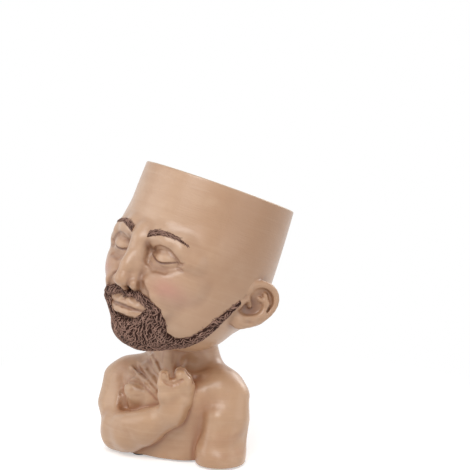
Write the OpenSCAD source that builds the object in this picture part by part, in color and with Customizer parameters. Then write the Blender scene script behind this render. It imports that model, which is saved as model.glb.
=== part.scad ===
// Figurine vase: a tilted hollow head, open at the top, on a small bust.
// X is the figure's own left, -Y its front, +Z up. The origin is under the middle of its box.

/* [Bust] */
// Breadth over both shoulders
bust_w = 164; // [140:1:190]
// Depth of the chest, front to back
bust_d = 84; // [74:1:96]
// Height of the collarbones above the resting surface
bust_h = 93; // [84:1:102]
// Thickness of the cast bust wall
bust_wall = 8; // [6:0.5:10]
// Thickness of the neck, left to right
neck_w = 57; // [52:1:62]
// Thickness of the upper arms
arm_w = 42; // [36:1:46]
// Thickness of the bent forearm
forearm_w = 33; // [28:1:36]
// Length of the curled hand
hand_l = 40; // [34:1:44]

/* [Head] */
// Breadth of the skull
head_w = 152; // [140:1:162]
// Depth of the skull, brow to nape
head_d = 174; // [164:1:184]
// Height of the eye line's level over the chin
chin_h = 90; // [84:1:96]
// Height of the rim of the opening over the eye line's level
rim_h = 87; // [76:1:96]
// Wall at the rim of the bowl
rim_wall = 6; // [5:0.5:8]
// Growth of the wall from the rim down to the floor of the bowl
wall_more = 10; // [7:0.5:12]
// Thickness of the bowl's floor in its middle
floor_t = 19; // [16:0.5:26]
// Lean of the head towards its back
lean_back = 21.4; // [19:0.2:24]
// Lean of the head towards its left shoulder
lean_side = 6.2; // [4:0.2:8]
// Turn of the head towards its right shoulder
turn_right = 16; // [12:1:20]

/* [Hair] */
// Depth of the beard's relief
beard_t = 4; // [2.5:0.5:5]
// Depth of the moustache's relief
moustache_t = 3.4; // [2:0.2:4]
// Depth of the eyebrows' relief
eyebrow_t = 2; // [1.4:0.2:2.6]
// Breadth of an eyebrow at its widest
eyebrow_w = 7; // [5:0.5:9]

/* [Ears] */
// Height of an ear
ear_h = 50; // [46:1:56]
// Breadth of an ear, front to back
ear_w = 42; // [36:1:46]
// Angle at which the ears stand off the head
ear_flare = 25; // [20:1:32]
// Thickness of the rolled edge
ear_roll = 8.5; // [7:0.5:10]

/* [Drain] */
// Bore of the drain tube
drain_bore_d = 14; // [12:0.5:16]
// Wall of the drain tube
tube_wall = 1.8; // [1.4:0.2:2.4]
// Breadth of the tube's flange beyond its wall
flange_w = 4; // [3:0.5:5]
// Thickness of the tube's flange
flange_t = 2.4; // [2:0.2:3]
// Length of the plug inside the tube
plug_l = 14; // [10:1:18]
// Thickness of the plug's head
plug_head_t = 3.2; // [2.6:0.2:4]
// Height of the plug's pull knob
knob_h = 11; // [9:0.5:13]

/* [Base] */
// Thickness of the base plate
plate_t = 3; // [2.4:0.2:4]
// Width of the ledge that the base plate seats on
ledge_w = 3; // [2.4:0.2:4]
// Diameter of a foot pad
pad_d = 14; // [11:0.5:15]
// Thickness of a foot pad
pad_t = 2; // [1.6:0.2:3]

/* [Hidden] */

skin = [0.77, 0.62, 0.48];
hair = [0.33, 0.24, 0.23];
rubber_black = [0.12, 0.12, 0.13];
plastic_grey = [0.55, 0.56, 0.57];

// Overrun of every cut past the face that it leaves
over = 1;
// Line of glue under each applied piece
glue = 0.4;
// Radial clearance of a piece in its seat
seat_gap = 0.3;
// Radial clearance of the plug in the drain tube
plug_gap = 0.08;

// Half sizes that the tables of shares below are shares of
bust_half = [bust_w / 2, bust_d / 2, bust_h];
head_half = [head_w / 2, head_d / 2, chin_h];
// Radius at which neighbouring swells of the head run into each other, as a share of the chin's drop
blend_share = 0.067;
blend_r = blend_share * chin_h;

// The middle of the whole part's box, seen from the middle of the bust's footprint
middle_share = [0.1672, 0.1512, 0];

// Where the middle of the head stands over the bust, as shares of the bust's half sizes
head_place_share = [0.21, 0.06, 2.055];

// The skull: an ellipsoid below the eye line's level and a taller one above it
skull_at_share = [0, 0.02, 0];
skull_down_share = 0.8;
skull_up_share = 4;

// Large swells of the head: centre shares, then radius shares, of the head's half sizes
form_shares = [
    [[0, -0.12, -0.2], [0.88, 0.67, 0.72]],      // oval of the face
    [[0.4, -0.1, -0.5], [0.4, 0.44, 0.34]],      // angles of the jaw
    [[0, -0.42, -0.7], [0.42, 0.31, 0.3]],       // chin
    [[0, -0.45, -0.5], [0.5, 0.31, 0.3]]         // mound of the mouth
];

// Relief of the face, laid on those swells: sideways and upward place, sideways and upward spread
// as shares of the head's half sizes, then the depth as a share of the chin's drop
relief_shares = [
    [0.34, 0.2, 0.24, 0.08, 0.055],              // brow ridges
    [0, 0.14, 0.1, 0.12, 0.03],                  // between the brows
    [0.36, 0.05, 0.2, 0.12, -0.11],              // hollows of the eyes
    [0.38, 0.02, 0.16, 0.055, 0.09],             // closed lids
    [0.38, -0.06, 0.15, 0.025, -0.03],           // lines of the lashes
    [0, -0.02, 0.085, 0.13, 0.09],               // bridge of the nose
    [0, -0.2, 0.1, 0.12, 0.12],                  // back of the nose
    [0, -0.34, 0.12, 0.085, 0.19],               // tip of the nose
    [0.15, -0.38, 0.09, 0.07, 0.09],             // wings of the nose
    [0.52, -0.2, 0.22, 0.16, 0.045],             // cheeks
    [0.32, -0.5, 0.08, 0.14, -0.02],             // folds beside the mouth
    [0, -0.57, 0.24, 0.04, 0.05],                // upper lip
    [0, -0.63, 0.3, 0.02, -0.03],                // line of the mouth
    [0, -0.68, 0.2, 0.045, 0.05],                // lower lip
    [0, -0.76, 0.2, 0.03, -0.025],               // crease over the chin
    [0, -0.88, 0.22, 0.1, 0.03]                  // ball of the chin
];

// Columns round the head, and rows above and below the eye line's level
columns = 72;
rows_up = 13;
rows_down = 30;
rows_in = 12;

// Share of the half turn at column i: close together in front and wide behind
front_share = 0.4;
function column_angle(i) =
    let(u = 2 * i / columns - 1) 180 * u * (front_share + (1 - front_share) * abs(u));

// Distance along a ray from inside an ellipsoid to its far side, or 0 where it misses
function reach(o, d, c, r) =
    let(
        p = [for (i = [0:2]) (o[i] - c[i]) / r[i]],
        q = [for (i = [0:2]) d[i] / r[i]],
        a = q * q,
        b = p * q,
        s = b * b - a * (p * p - 1)
    )
    s < 0 ? 0 : (sqrt(s) - b) / a;

function scaled(share, by) = [for (i = [0:2]) share[i] * by[i]];
function mirrored(v, side) = [side * v[0], v[1], v[2]];

// The skull alone, along a ray
function skull_reach(o, d) =
    reach(o, d, scaled(skull_at_share, head_half), [
        head_half[0], head_half[1] * (1 - skull_at_share[1]),
        o[2] > 0 ? skull_up_share * rim_h : skull_down_share * chin_h
    ]);

// The large swells of the head along a ray, run into each other over blend_r
function form_reach(o, d) =
    let(
        side = d[0] < 0 ? -1 : 1,
        far = concat(
            [skull_reach(o, d)],
            [for (s = form_shares)
                reach(o, d, mirrored(scaled(s[0], head_half), side), scaled(s[1], head_half))]
        ),
        most = max(far)
    )
    most + blend_r * ln([for (t = far) exp((t - most) / blend_r)] * [for (t = far) 1]);

// Relief of the face at a spot of those swells, fading out round the sides
function relief(p) =
    let(x = abs(p[0]) / head_half[0], z = p[2] / head_half[2], face = max(0, -p[1] / head_half[1]))
    chin_h * min(1, 2 * face) * [for (s = relief_shares)
        s[4] * exp(-pow((x - s[0]) / s[2], 2) - pow((z - s[1]) / s[3], 2))]
        * [for (s = relief_shares) 1];

// The whole head, along a ray
function head_reach(o, d) = let(t = form_reach(o, d)) t + relief(o + t * d);

// A ray of the head: its start on the axis and its direction.
// turn is 0 in front; drop is 0 or less for a height above the eye line's level, else an angle below it
function ray_from(turn, rise, drop) = [
    [0, 0, rise],
    [sin(turn) * cos(drop), -cos(turn) * cos(drop), -sin(drop)]
];
function head_point(turn, rise, drop, proud = 0) =
    let(ray = ray_from(turn, rise, drop)) ray[0] + ray[1] * (head_reach(ray[0], ray[1]) + proud);

// Rows of the outer skin, as [rise, drop]
row_bunch = 1.35;
row_spread = 1.2;
outer_rows = concat(
    [for (j = [0:rows_up - 1]) [rim_h * pow(1 - j / rows_up, row_bunch), 0]],
    [for (j = [0:rows_down - 1]) [0, 90 * pow(j / rows_down, row_spread)]]
);

// The bowl: the head's own outline at each level less a wall that grows downwards, rounded off
// into the floor
bowl_square = 4;
bowl_depth = rim_h + skull_down_share * chin_h - floor_t;
function bowl_point(turn, share) =
    let(
        level = rim_h - bowl_depth * sin(90 * share),
        size = form_reach([0, 0, level], [sin(turn), -cos(turn), 0]),
        inner = (size - rim_wall - wall_more * share) * pow(1 - pow(share, bowl_square), 1 / bowl_square)
    )
    [sin(turn) * inner, -cos(turn) * inner, level];

// Faces of a grid of rows by columns that closes on itself round the columns
function grid_faces(rows, cols, first = 0) = [
    for (j = [0:rows - 2], i = [0:cols - 1])
        let(a = first + j * cols, b = a + cols, n = (i + 1) % cols)
        each [[a + i, a + n, b + n], [a + i, b + n, b + i]]
];

// The head without its bowl, for seats and cuts
module head_solid() {
    skin_points = [for (r = outer_rows, i = [0:columns - 1])
        head_point(column_angle(i), r[0], r[1])];
    count = len(skin_points);
    polyhedron(
        points = concat(skin_points, [head_point(0, 0, 90), [0, 0, rim_h]]),
        faces = concat(
            grid_faces(len(outer_rows), columns),
            [for (i = [0:columns - 1])
                each [
                    [count - columns + i, count - columns + (i + 1) % columns, count],
                    [(i + 1) % columns, i, count + 1]
                ]]
        )
    );
}

// The head with its bowl, one cast skin from the chin to the rim and down inside to the floor
module head_cup() {
    skin_points = [for (r = outer_rows, i = [0:columns - 1])
        head_point(column_angle(i), r[0], r[1])];
    bowl_points = [for (j = [0:rows_in - 1], i = [0:columns - 1])
        bowl_point(column_angle(i), pow(j / rows_in, 0.8))];
    count = len(skin_points);
    total = count + len(bowl_points);
    bowl_floor = bowl_point(0, 1);
    polyhedron(
        points = concat(skin_points, bowl_points, [head_point(0, 0, 90), bowl_floor]),
        faces = concat(
            grid_faces(len(outer_rows), columns),
            [for (i = [0:columns - 1]) let(n = (i + 1) % columns)
                each [
                    [count - columns + i, count - columns + n, total],
                    [n, i, count + i], [n, count + i, count + n],
                    [total - columns + n, total - columns + i, total + 1]
                ]],
            [for (f = grid_faces(rows_in, columns, count)) [f[2], f[1], f[0]]]
        )
    );
}

// Moves a piece from the frame of the footprint to the frame of the whole part
module placed() {
    translate(-scaled(middle_share, bust_half)) children();
}

// Puts a shape of the head's own frame onto the bust
module place_head() {
    translate(head_place) rotate([-lean_back, lean_side, -turn_right]) children();
}

// A rounded limb from one ball to another
module limb(a, b, ra, rb, facets = 22) {
    hull() {
        translate(a) sphere(r = ra, $fn = facets);
        translate(b) sphere(r = rb, $fn = facets);
    }
}

// A run of limbs through a list of [centre, radius]
module limbs(balls, facets = 22) {
    for (i = [0:len(balls) - 2])
        limb(balls[i][0], balls[i + 1][0], balls[i][1], balls[i + 1][1], facets);
}

// A swell of the bust: an ellipsoid by its centre and radius shares
module swell(at_share, size_share, facets = 26) {
    translate(scaled(at_share, bust_half)) scale(scaled(size_share, bust_half))
        sphere(r = 1, $fn = facets);
}

head_place = scaled(head_place_share, bust_half);

// Bust: ellipsoids of the trunk by centre and radius, as shares of the bust's half sizes
ribs_share = [[0.02, 0.04, 0.56], [0.6, 0.92, 0.44]];
loins_share = [[0.02, -0.03, 0.06], [0.58, 0.9, 0.3]];
// Corners of the breast muscles and of the shoulder blades
breast_share = [
    [[0.14, -0.54, 0.66], [0.15, 0.38, 0.2]], [[0.5, -0.14, 0.8], [0.17, 0.42, 0.14]],
    [[0.4, -0.44, 0.54], [0.17, 0.36, 0.2]]
];
blade_share = [
    [[0.2, 0.46, 0.78], [0.2, 0.4, 0.2]], [[0.3, 0.44, 0.46], [0.2, 0.42, 0.28]],
    [[0.54, 0.2, 0.74], [0.2, 0.4, 0.2]]
];
back_share = [[0.04, 0.36, 0.84], [0.52, 0.55, 0.34]];

// Balls of the neck, shoulders and arms: centre share, then radius as a share of the limb's own
neck_share = [[[0.06, 0.2, 0.86], 1.1], [[0.09, 0.26, 1.1], 1], [[0.11, 0.32, 1.4], 1.02]];
yoke_share = [[[0.1, 0.26, 1.06], 0.8], [[0.34, 0.25, 0.92], 0.76], [[0.6, 0.14, 0.76], 0.76]];
left_arm_share = [
    [[0.66, 0.1, 0.67], 1.14], [[0.73, -0.12, 0.47], 1.15],
    [[0.75, -0.34, 0.24], 1.12], [[0.755, -0.45, 0.06], 1.2]
];
biceps_share = [[[0.68, -0.46, 0.5], 0.52], [[0.67, -0.6, 0.36], 0.5], [[0.64, -0.72, 0.16], 0.56]];
right_arm_share = [[[-0.7, 0.02, 0.73], 1.14], [[-0.74, -0.26, 0.47], 1.04], [[-0.64, -0.58, 0.21], 0.88]];
forearm_share = [
    [[-0.6, -0.6, 0.205], 1.14], [[-0.38, -0.83, 0.275], 1.16],
    [[-0.1, -0.97, 0.375], 1.08], [[0.254, -1.03, 0.57], 0.84]
];
fore_muscle_share = [[[-0.6, -0.84, 0.32], 0.58], [[-0.32, -1.06, 0.4], 0.64], [[-0.04, -1.14, 0.47], 0.42]];
cord_share = [[0.16, 0, 1.5], [0.09, -0.42, 1.0]];
collar_share = [[0.1, -0.48, 0.95], [0.34, -0.36, 0.9], [0.58, -0.1, 0.88]];

arm_r = arm_w / 2;
fore_r = forearm_w / 2;
neck_r = neck_w / 2;
cord_r = neck_r * 0.15;

module ball_run(balls, r, side = 1) {
    limbs([for (b = balls) [scaled(mirrored(b[0], side), bust_half), b[1] * r]]);
}
function beside(v, side) = [neck_share[0][0][0] + side * v[0], v[1], v[2]];

module bust_form() {
    // Trunk, down to the footprint
    hull() {
        swell(ribs_share[0], ribs_share[1], 32);
        swell(loins_share[0], loins_share[1], 32);
    }
    swell(back_share[0], back_share[1], 32);
    for (side = [-1, 1]) {
        for (corners = [breast_share, blade_share])
            hull() for (c = corners) swell(mirrored(c[0], side), c[1]);
        // Slope from the neck to the shoulder
        ball_run(yoke_share, neck_r * 0.9, side);
        // Cord of the neck, then the collarbone
        limb(
            scaled(beside(cord_share[0], side), bust_half),
            scaled(beside(cord_share[1], side), bust_half), cord_r, cord_r, 14
        );
        limbs([for (s = collar_share) [scaled(beside(s, side), bust_half), cord_r]], 14);
    }
    ball_run(neck_share, neck_r);
    // Left arm, hanging to the footprint, and right upper arm
    ball_run(left_arm_share, arm_r);
    ball_run(biceps_share, arm_r);
    ball_run(right_arm_share, arm_r);
}

// Everything under the bust's own underside
module below_footprint() {
    translate([-bust_w, -bust_w, pad_t - bust_h]) cube([2 * bust_w, 2 * bust_w, bust_h]);
}

// Outline of the base plate: a bar with round ends
plate_r = bust_half[1] * 0.64;
plate_reach = bust_half[0] * 0.24;
module plate_outline(grow = 0) {
    square([2 * plate_reach, 2 * (plate_r + grow)], center = true);
    for (side = [-1, 1])
        translate([side * plate_reach, 0]) circle(r = plate_r + grow, $fn = 48);
}

// Drain: a straight vertical tube from the floor of the bowl, through the neck, to the base plate
drain_at = [bust_half[0] * 0.1, bust_half[1] * 0.3];
// Its top is level with the lowest spot of the tilted bowl's floor
sink_share = 0.35;
drain_top = head_place[2] - cos(lean_side) * sin(lean_back) * sink_share * head_half[1]
    + cos(lean_side) * cos(lean_back) * (rim_h - bowl_depth);
tube_r = drain_bore_d / 2 + tube_wall;
flange_r = tube_r + flange_w;

// The hollow inside the bust, clear of its wall
module bust_hollow() {
    hull() {
        translate([0, 0, pad_t - over]) linear_extrude(over) plate_outline(-ledge_w);
        translate([0, 0, bust_h * 0.3]) linear_extrude(over) plate_outline(-ledge_w);
        translate(scaled([0, 0.08, 0.62], bust_half))
            scale([bust_half[0] * 0.61 - bust_wall, bust_half[1] * 0.8 - bust_wall, bust_h * 0.24])
                sphere(r = 1, $fn = 24);
    }
    translate([0, 0, pad_t - over]) linear_extrude(plate_t + over) plate_outline(seat_gap);
    translate([drain_at[0], drain_at[1], pad_t]) cylinder(r = tube_r + seat_gap, h = bust_h * 2, $fn = 40);
}

module bust_shell() {
    color(skin) placed() difference() {
        bust_form();
        place_head() head_solid();
        bust_hollow();
        below_footprint();
    }
}

// Hand: balls from the wrist, as shares of its length, with each ball's radius share
palm_share = [[[0, 0, 0], 0.34], [[0.06, 0.09, 0.3], 0.34], [[0.12, 0.2, 0.6], 0.3]];
heel_share = [[[0.02, 0.29, 0.35], 0.27], [[0.04, 0.4, 0.62], 0.23]];
knuckle_share = [[[0.25, 0.2, 0.3], 0.17], [[0.28, 0.26, 0.64], 0.19]];
index_share = [
    [[0.28, 0.12, 0.67], 0.18], [[0.26, 0.08, 0.84], 0.17],
    [[0.11, -0.04, 0.96], 0.155], [[-0.03, -0.07, 0.87], 0.14], [[-0.05, -0.05, 0.68], 0.13]
];
thumb_share = [[[-0.05, -0.14, 0.1], 0.22], [[-0.09, -0.23, 0.5], 0.175], [[-0.07, -0.22, 0.96], 0.135]];
// Step from one finger to the next
finger_step_share = [-0.077, 0.146, -0.03];

module hand_run(balls, shift = [0, 0, 0], facets = 16) {
    limbs([for (b = balls) [hand_l * (b[0] + shift), hand_l * b[1]]], facets);
}
module hand_form() {
    translate(scaled(forearm_share[3][0], bust_half)) {
        for (run = [palm_share, heel_share, knuckle_share, thumb_share]) hand_run(run);
        for (finger = [0:3]) hand_run(index_share, finger * finger_step_share, 14);
    }
}

// The hollow of the throat, between the collarbones and the cords of the neck, kept clear of the hand
module throat() {
    hull() for (side = [-1, 1], s = concat([cord_share[0]], collar_share))
        translate(scaled(beside(s, side), bust_half)) sphere(r = cord_r, $fn = 14);
}

module right_forearm() {
    color(skin) placed() difference() {
        union() {
            ball_run(forearm_share, fore_r);
            ball_run(fore_muscle_share, fore_r);
            hand_form();
        }
        bust_form();
        throat();
        place_head() head_solid();
        below_footprint();
    }
}

module head_bowl() {
    color(skin) placed() difference() {
        place_head() head_cup();
        translate([drain_at[0], drain_at[1], 0]) {
            cylinder(r = tube_r + seat_gap, h = bust_h * 2, $fn = 64);
            translate([0, 0, drain_top - flange_t]) cylinder(r = flange_r + seat_gap, h = bust_h, $fn = 64);
        }
    }
}

// Ear: its rolled edge runs from the front of the rim over the back round to the lobe; angles from the top
roll_turns = [-62, -38, -14, 10, 34, 58, 82, 106, 130, 154, 178, 202, 226];
lobe_narrow = 0.3;
function roll_at(t) =
    let(narrow = 1 - lobe_narrow * (1 - cos(t)) / 2) [0.5 * narrow + 0.48 * sin(t) * narrow, 0.47 * cos(t)];
// Its inner ridge, as shares of the ear's breadth and height
ridge_share = [[0.46, 0.26], [0.62, 0.14], [0.66, -0.04], [0.54, -0.2], [0.34, -0.26]];
ear_root_share = [0.91, 0.04, -0.1];
ear_tilt = 16;

module ear_form() {
    roll_r = ear_roll / 2;
    function spot(s, out = 0) = [s[0] * ear_w, -out, s[1] * ear_h];
    limbs([for (t = roll_turns) [spot(roll_at(t)), roll_r]], 14);
    limbs([for (s = ridge_share) [spot(s), roll_r * 0.7]], 14);
    // The thin dish inside the rolled edge
    hull() for (t = roll_turns) translate(spot(roll_at(t), -roll_r * 0.4)) sphere(r = roll_r * 0.5, $fn = 14);
}

module ear(side) {
    color(skin) placed() difference() {
        place_head() mirror([side < 0 ? 1 : 0, 0, 0])
            translate(scaled(ear_root_share, head_half)) rotate([0, 0, 90 - ear_flare])
                rotate([0, ear_tilt, 0]) ear_form();
        place_head() head_solid();
    }
}
module left_ear() { ear(1); }
module right_ear() { ear(-1); }

// A raised patch that follows the head: edges is a list of [turn, low drop, high drop] in degrees
function edge_at(edges, turn, k) = lookup(abs(turn), [for (e = edges) [e[0], e[k]]]);
module patch(turns, edges, rows, thick, rises = false) {
    cols = len(turns);
    function drop_at(i, v) =
        edge_at(edges, turns[i], 1) * (1 - v) + edge_at(edges, turns[i], 2) * v;
    // Full depth in the middle of the patch, thinner at its edges
    function depth_at(i, v) =
        thick * (0.5 + 0.5 * pow(sin(180 * v), 0.5) * pow(sin(180 * i / (cols - 1)), 0.25));
    function spot(i, v, proud) =
        let(a = drop_at(i, v)) head_point(turns[i], rises ? a : 0, rises ? 0 : a, proud);
    outside = [for (j = [0:rows], i = [0:cols - 1])
        spot(i, j / rows, glue + depth_at(i, j / rows))];
    inside = [for (j = [0:rows], i = [0:cols - 1]) spot(i, j / rows, glue)];
    n = len(outside);
    polyhedron(
        points = concat(outside, inside),
        faces = concat(
            [for (j = [0:rows - 1], i = [0:cols - 2])
                let(a = j * cols + i, b = a + cols)
                each [[a, b, b + 1], [a, b + 1, a + 1], [n + a, n + b + 1, n + b], [n + a, n + a + 1, n + b + 1]]],
            [for (i = [0:cols - 2])
                let(t = rows * cols + i)
                each [[i, i + 1, n + i + 1], [i, n + i + 1, n + i], [t, n + t + 1, t + 1], [t, n + t, n + t + 1]]],
            [for (j = [0:rows - 1])
                let(a = j * cols, b = a + cols, c = a + cols - 1, d = c + cols)
                each [[a, n + b, b], [a, n + a, n + b], [c, d, n + d], [c, n + d, n + c]]]
        )
    );
}

// Beard: below the lip in front, up beside the mouth, then a strap along the jaw to the ear
beard_edges = [
    [0, 70, 43], [12, 70, 42], [18, 70, 38], [22, 70, 33], [31, 70, 33], [36, 70, 46],
    [50, 68, 51], [62, 61, 45], [73, 46, 32], [81, 32, 21], [90, 15, 10]
];
module beard() {
    color(hair) placed() place_head() difference() {
        patch([for (i = [-28:28]) i * 3.18], beard_edges, 7, beard_t);
        head_solid();
    }
}

moustache_edges = [[0, 31, 27], [8, 32, 26.5], [18, 32, 27], [30, 32, 29]];
module moustache() {
    color(hair) placed() place_head() difference() {
        patch([for (i = [-10:10]) i * 3], moustache_edges, 4, moustache_t);
        head_solid();
    }
}

// Eyebrow: its run over the eye as [turn, height above the eye line's level in shares of the rise]
eyebrow_run_share = [[9, 0.2], [18, 0.26], [28, 0.27], [40, 0.19]];
eyebrow_turns = [9, 40];
function eyebrow_turn(share) = eyebrow_turns[0] * (1 - share) + eyebrow_turns[1] * share;
module eyebrow(side) {
    steps = 12;
    turns = [for (i = [0:steps]) side * eyebrow_turn(i / steps)];
    ordered = side > 0 ? turns : [for (i = [steps:-1:0]) turns[i]];
    edges = [for (i = [0:steps]) let(
        t = eyebrow_turn(i / steps),
        mid = rim_h * lookup(t, eyebrow_run_share),
        half = eyebrow_w / 2 * (1 - 0.7 * i / steps))
        [t, mid - half, mid + half]];
    color(hair) placed() place_head() patch(ordered, edges, 3, eyebrow_t, rises = true);
}
module left_eyebrow() { eyebrow(1); }
module right_eyebrow() { eyebrow(-1); }

module drain_tube() {
    bottom = pad_t + plate_t / 2;
    color(plastic_grey) placed() translate([drain_at[0], drain_at[1], 0]) difference() {
        union() {
            translate([0, 0, bottom]) cylinder(r = tube_r, h = drain_top - bottom, $fn = 64);
            translate([0, 0, drain_top - flange_t]) cylinder(r = flange_r, h = flange_t, $fn = 64);
        }
        translate([0, 0, -over]) cylinder(d = drain_bore_d, h = drain_top + 2 * over, $fn = 64);
    }
}

module drain_plug() {
    shank_r = drain_bore_d / 2 - plug_gap;
    knob_r = drain_bore_d * 0.24;
    color(rubber_black) placed() translate([drain_at[0], drain_at[1], drain_top]) {
        translate([0, 0, -plug_l]) cylinder(r = shank_r, h = plug_l, $fn = 64);
        cylinder(r = flange_r - plug_gap, h = plug_head_t, $fn = 64);
        cylinder(r = knob_r * 0.7, h = plug_head_t + knob_h - knob_r, $fn = 40);
        translate([0, 0, plug_head_t + knob_h - knob_r]) sphere(r = knob_r, $fn = 28);
    }
}

module base_plate() {
    color(plastic_grey) placed() difference() {
        translate([0, 0, pad_t]) linear_extrude(plate_t) plate_outline();
        translate([drain_at[0], drain_at[1], pad_t - over])
            cylinder(d = drain_bore_d, h = plate_t + 2 * over, $fn = 64);
        translate([drain_at[0], drain_at[1], pad_t + plate_t / 2])
            cylinder(r = tube_r + seat_gap, h = plate_t, $fn = 64);
    }
}

pad_share = [[0.74, -0.36], [-0.34, -0.6], [-0.38, 0.58], [0.4, 0.58]];
module foot_pads() {
    color(rubber_black) placed() for (p = pad_share)
        translate([p[0] * bust_half[0], p[1] * bust_half[1], 0]) cylinder(d = pad_d, h = pad_t, $fn = 40);
}

bust_shell();
right_forearm();
head_bowl();
left_ear();
right_ear();
beard();
moustache();
left_eyebrow();
right_eyebrow();
drain_tube();
drain_plug();
base_plate();
foot_pads();
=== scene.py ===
import bpy
import math
import numpy as np
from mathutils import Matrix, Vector


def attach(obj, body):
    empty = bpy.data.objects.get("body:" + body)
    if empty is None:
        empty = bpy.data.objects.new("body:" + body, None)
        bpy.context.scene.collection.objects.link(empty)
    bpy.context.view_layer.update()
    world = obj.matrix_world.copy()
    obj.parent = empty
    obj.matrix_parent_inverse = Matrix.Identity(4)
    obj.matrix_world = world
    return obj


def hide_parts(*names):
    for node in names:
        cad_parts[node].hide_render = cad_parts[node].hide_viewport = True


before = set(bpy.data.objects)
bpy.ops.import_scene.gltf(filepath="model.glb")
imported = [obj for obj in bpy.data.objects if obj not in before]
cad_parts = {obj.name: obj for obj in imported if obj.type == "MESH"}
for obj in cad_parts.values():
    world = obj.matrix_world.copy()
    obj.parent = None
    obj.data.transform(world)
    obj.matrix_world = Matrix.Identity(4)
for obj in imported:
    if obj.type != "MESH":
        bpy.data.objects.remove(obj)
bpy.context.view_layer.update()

F = np.float32
# From the middle of the bust's footprint, where the figure is sculpted, to the frame of the part, in mm
SHIFT = np.array([13.7104, 6.3504, 0.0])
STEP = 0.8  # of the grid that the figure is sculpted on, in mm

# ---------- sculpting with distance fields, in millimetres ----------
FAR = 60  # what an empty field holds
EDGE, WIDE_EDGE = 3, 16  # room round a shape, and more where its blend varies

def smin(a, b, k):
    """The lesser of two distances, blended over k."""
    h = np.maximum(k - np.abs(a - b), 0) / k
    return np.minimum(a, b) - h * h * k * 0.25

def smax(a, b, k):
    return -smin(-a, -b, k)

def ellipsoid(P, c, r):
    q = [P[i] - c[i] for i in range(3)]
    k0, k1 = (np.sqrt(sum((q[i] / r[i] ** n) ** 2 for i in range(3))) for n in (1, 2))
    return k0 * (k0 - 1) / np.maximum(k1, 1e-6)

def cone(P, a, b, ra, rb):
    """A rod with round ends, ra thick at a and rb at b."""
    ba = [b[i] - a[i] for i in range(3)]
    L = sum(v * v for v in ba)
    h = np.clip(sum((P[i] - a[i]) * ba[i] for i in range(3)) / L, 0, 1)
    return np.sqrt(sum((P[i] - a[i] - ba[i] * h) ** 2 for i in range(3))) - (ra + (rb - ra) * h)

def unit(v):
    return v / np.maximum(np.linalg.norm(v, axis=1, keepdims=True), 1e-9)

class Field:
    """Distances on a grid, below 0 inside the form."""
    def __init__(s, lo, hi, step):
        s.lo, s.step = np.array(lo, float), step
        s.n = np.ceil((np.array(hi) - s.lo) / step).astype(int) + 1
        s.d = np.full(s.n, FAR, F)
        s.ax = [(s.lo[i] + step * np.arange(s.n[i])).astype(F) for i in range(3)]
        s.frame = None  # (origin, rotation) of a local frame: world = origin + R @ local

    def block(s, lo, hi):
        """Slices and coordinates of the box lo..hi, given in the frame that is set."""
        if s.frame is not None:
            O, R = s.frame
            w = np.array([[(lo, hi)[c[i]][i] for i in range(3)] for c in np.ndindex(2, 2, 2)]) @ R.T + O
            lo, hi = w.min(0), w.max(0)
        i0 = np.clip(np.floor((np.array(lo) - s.lo) / s.step).astype(int), 0, s.n - 1)
        i1 = np.clip(np.ceil((np.array(hi) - s.lo) / s.step).astype(int) + 1, 1, s.n)
        sl = tuple(slice(i0[i], max(i1[i], i0[i] + 1)) for i in range(3))
        P = np.ix_(*(s.ax[i][sl[i]] for i in range(3)))
        if s.frame is None: return sl, P
        x, y, z = (P[i] - F(O[i]) for i in range(3))
        R = R.astype(F)
        return sl, tuple(x * R[0, j] + y * R[1, j] + z * R[2, j] for j in range(3))

    def put(s, fn, lo, hi, k, cut=False):
        """Joins the form fn, in the box lo..hi, to the field over k, or cuts it out."""
        pad = (WIDE_EDGE if callable(k) else k) + EDGE
        sl, P = s.block(np.array(lo) - pad, np.array(hi) + pad)
        d = fn(P)
        s.d[sl] = smax(s.d[sl], -d, k) if cut else smin(s.d[sl], d, k(P) if callable(k) else k)

    def ball(s, c, r, k, cut=False):
        s.put(lambda P: ellipsoid(P, c, r), np.array(c) - r, np.array(c) + r, k, cut)

    def tilted(s, c, r, axes, k, cut=False, side=1):
        """Ellipsoid whose own axes are the rows of axes; side -1 mirrors it."""
        c, A = np.array(c) * (side, 1, 1), np.array(axes, float) * (side, 1, 1)
        def fn(P):
            q = [P[i] - c[i] for i in range(3)]
            return ellipsoid([sum(q[i] * F(A[j, i]) for i in range(3)) for j in range(3)], (0, 0, 0), r)
        s.put(fn, c - max(r), c + max(r), k, cut)

    def run(s, spots, k, at=None, side=1, cut=False, inner=None):
        """A chain of balls as one shape, its joints blended over inner. A spot is three coordinates,
        which at places, and a radius; side -1 mirrors the chain."""
        a = np.array([at(*p[:3]) if at else p[:3] for p in spots], float) * (side, 1, 1)
        r = [p[3] for p in spots]
        def fn(P):
            d = cone(P, a[0], a[1], r[0], r[1])
            for i in range(1, len(spots) - 1):
                e = cone(P, a[i], a[i + 1], r[i], r[i + 1])
                d = smin(d, e, inner) if inner else np.minimum(d, e)
            return d
        s.put(fn, a.min(0) - max(r), a.max(0) + max(r), k, cut)

    def sample(s, P):
        """The distance at each point."""
        q = (np.asarray(P) - s.lo) / s.step
        i = np.clip(np.floor(q).astype(int), 0, s.n - 2)
        f = np.clip(q - i, 0, 1)
        out = 0
        for c in np.ndindex(2, 2, 2):
            w = [f[:, a] if c[a] else 1 - f[:, a] for a in range(3)]
            out = out + s.d[tuple((i + c).T)] * w[0] * w[1] * w[2]
        return out

    def grad(s, P):
        """The outward direction at each point."""
        return unit(np.stack([s.sample(P + e) - s.sample(P - e) for e in np.eye(3) * s.step], 1))

    def onto(s, P, times):
        """The points, moved to the zero level."""
        for _ in range(times): P = P - s.grad(P) * s.sample(P)[:, None]
        return P

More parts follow.
